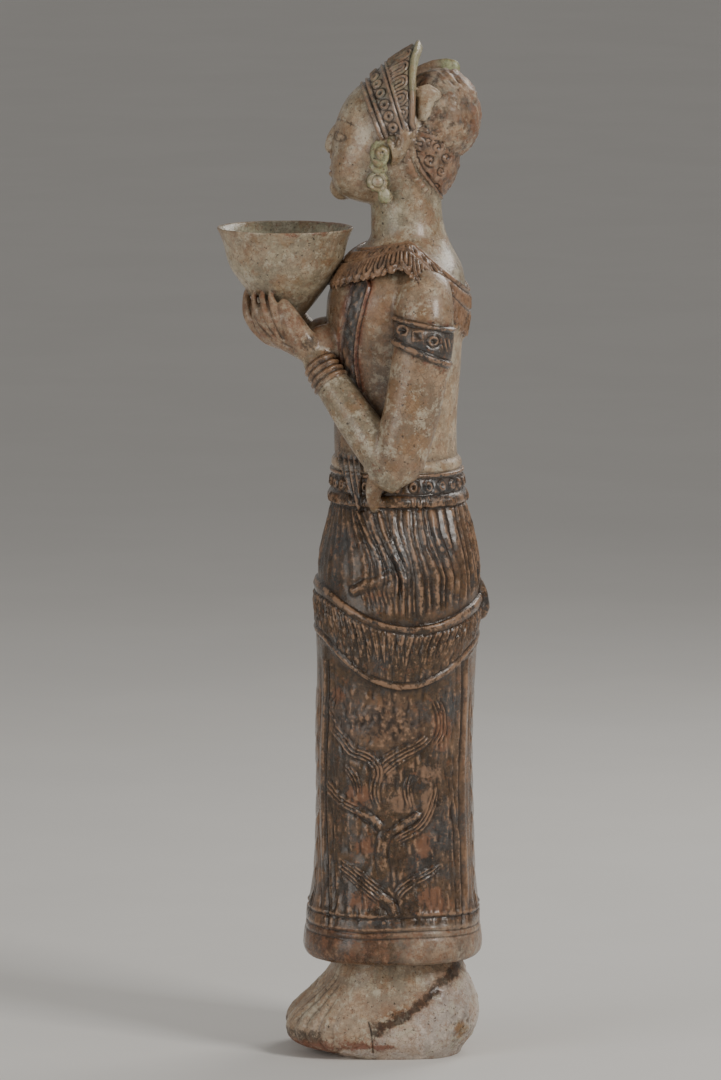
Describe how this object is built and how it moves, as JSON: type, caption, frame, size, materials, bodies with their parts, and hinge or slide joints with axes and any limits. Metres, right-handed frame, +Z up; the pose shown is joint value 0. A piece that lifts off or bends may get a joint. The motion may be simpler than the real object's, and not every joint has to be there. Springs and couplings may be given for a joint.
{
  "type": "standing votive figure with offering bowl",
  "caption": "Standing stoneware votive figure in a long patterned skirt, holding an open bowl before the chest in both hands.",
  "frame": {"origin": "on the flat underside, on the figure's upright axis", "axes": "+Z up along the figure's height, -Y the way the figure faces, +X its left side"},
  "size_m": [0.2322, 0.251, 0.914],
  "materials": {
    "glazed_stoneware": "worn brown and cream glaze with crust and pits"
  },
  "bodies": {
    "root": {"figure": "glazed_stoneware"}
  },
  "joints": []
}
